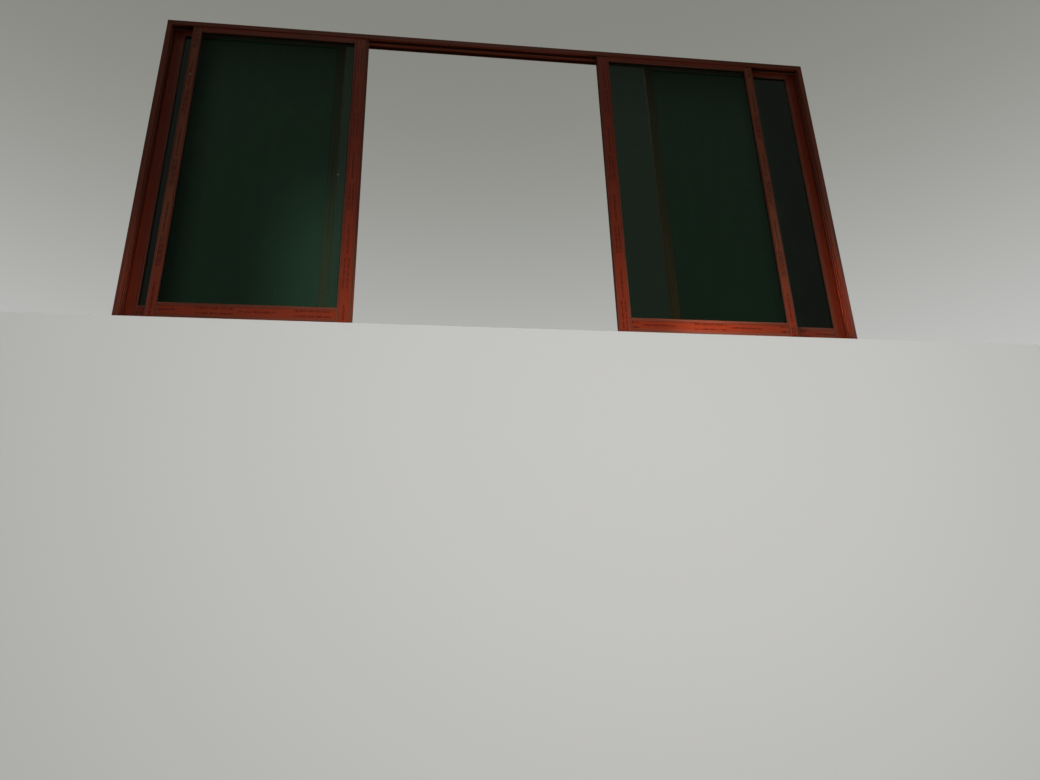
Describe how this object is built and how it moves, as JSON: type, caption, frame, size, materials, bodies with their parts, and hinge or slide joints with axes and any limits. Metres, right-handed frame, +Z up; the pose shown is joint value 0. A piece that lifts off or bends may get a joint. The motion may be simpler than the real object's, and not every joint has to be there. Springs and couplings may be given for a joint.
{
  "type": "sliding window",
  "caption": "Wide two-track sliding window in wood-tone aluminium with dark green glass, its front sashes slid open at the middle.",
  "frame": {"origin": "middle of the sill's underside, at half the frame's depth", "axes": "+X along the sill to the right as seen from the room side, +Y from the room side to the back, +Z up"},
  "size_m": [3.2, 0.07, 1.625],
  "materials": {
    "wood_tone_aluminium": "satin",
    "tinted_glass": "polished",
    "black_rubber": "matte",
    "pile_strip": "matte",
    "zinc_steel": "satin",
    "protective_film": "gloss"
  },
  "bodies": {
    "root": {"head": "wood_tone_aluminium", "sill": "wood_tone_aluminium", "left_jamb": "wood_tone_aluminium", "right_jamb": "wood_tone_aluminium", "head_pile": "pile_strip", "sill_pile": "pile_strip", "left_jamb_pile": "pile_strip", "right_jamb_pile": "pile_strip", "rear_left_lock_stile": "wood_tone_aluminium", "rear_left_interlock_stile": "wood_tone_aluminium", "rear_left_top_rail": "wood_tone_aluminium", "rear_left_bottom_rail": "wood_tone_aluminium", "rear_left_glass": "tinted_glass", "rear_left_gasket": "black_rubber", "rear_left_rollers": "zinc_steel", "rear_right_lock_stile": "wood_tone_aluminium", "rear_right_interlock_stile": "wood_tone_aluminium", "rear_right_top_rail": "wood_tone_aluminium", "rear_right_bottom_rail": "wood_tone_aluminium", "rear_right_glass": "tinted_glass", "rear_right_gasket": "black_rubber", "rear_right_rollers": "zinc_steel", "front_left_lock_stile": "wood_tone_aluminium", "front_left_interlock_stile": "wood_tone_aluminium", "front_left_top_rail": "wood_tone_aluminium", "front_left_bottom_rail": "wood_tone_aluminium", "front_left_glass": "tinted_glass", "front_left_gasket": "black_rubber", "front_left_rollers": "zinc_steel", "front_right_lock_stile": "wood_tone_aluminium", "front_right_interlock_stile": "wood_tone_aluminium", "front_right_top_rail": "wood_tone_aluminium", "front_right_bottom_rail": "wood_tone_aluminium", "front_right_glass": "tinted_glass", "front_right_gasket": "black_rubber", "front_right_rollers": "zinc_steel", "meeting_tongue": "wood_tone_aluminium"}
  },
  "joints": []
}
